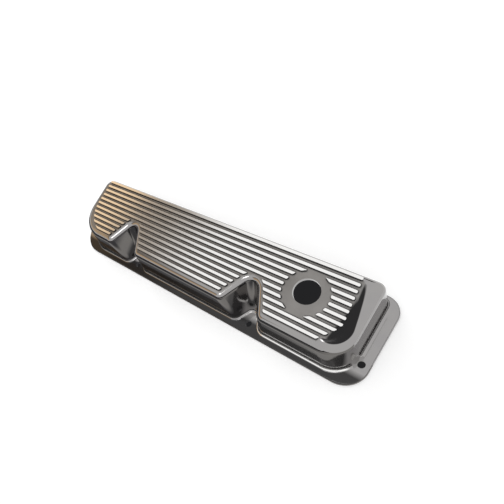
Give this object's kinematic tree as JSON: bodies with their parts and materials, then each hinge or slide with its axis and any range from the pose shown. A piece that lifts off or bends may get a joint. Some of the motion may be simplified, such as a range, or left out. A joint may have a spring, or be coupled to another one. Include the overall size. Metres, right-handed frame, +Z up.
{
  "type": "engine valve cover",
  "caption": "Ribbed cast aluminium engine valve cover with a round breather hole, two bolt scallops and a bolted flange.",
  "frame": {"origin": "centre of the flange's underside, the face that the gasket seals", "axes": "+X along the cover towards the breather hole, +Y away from the side with the two bolt scallops, +Z up out of the deck"},
  "size_m": [0.51, 0.121, 0.0655],
  "materials": {
    "polished_aluminium": "polished"
  },
  "bodies": {
    "root": {"valve_cover": "polished_aluminium"}
  },
  "joints": []
}
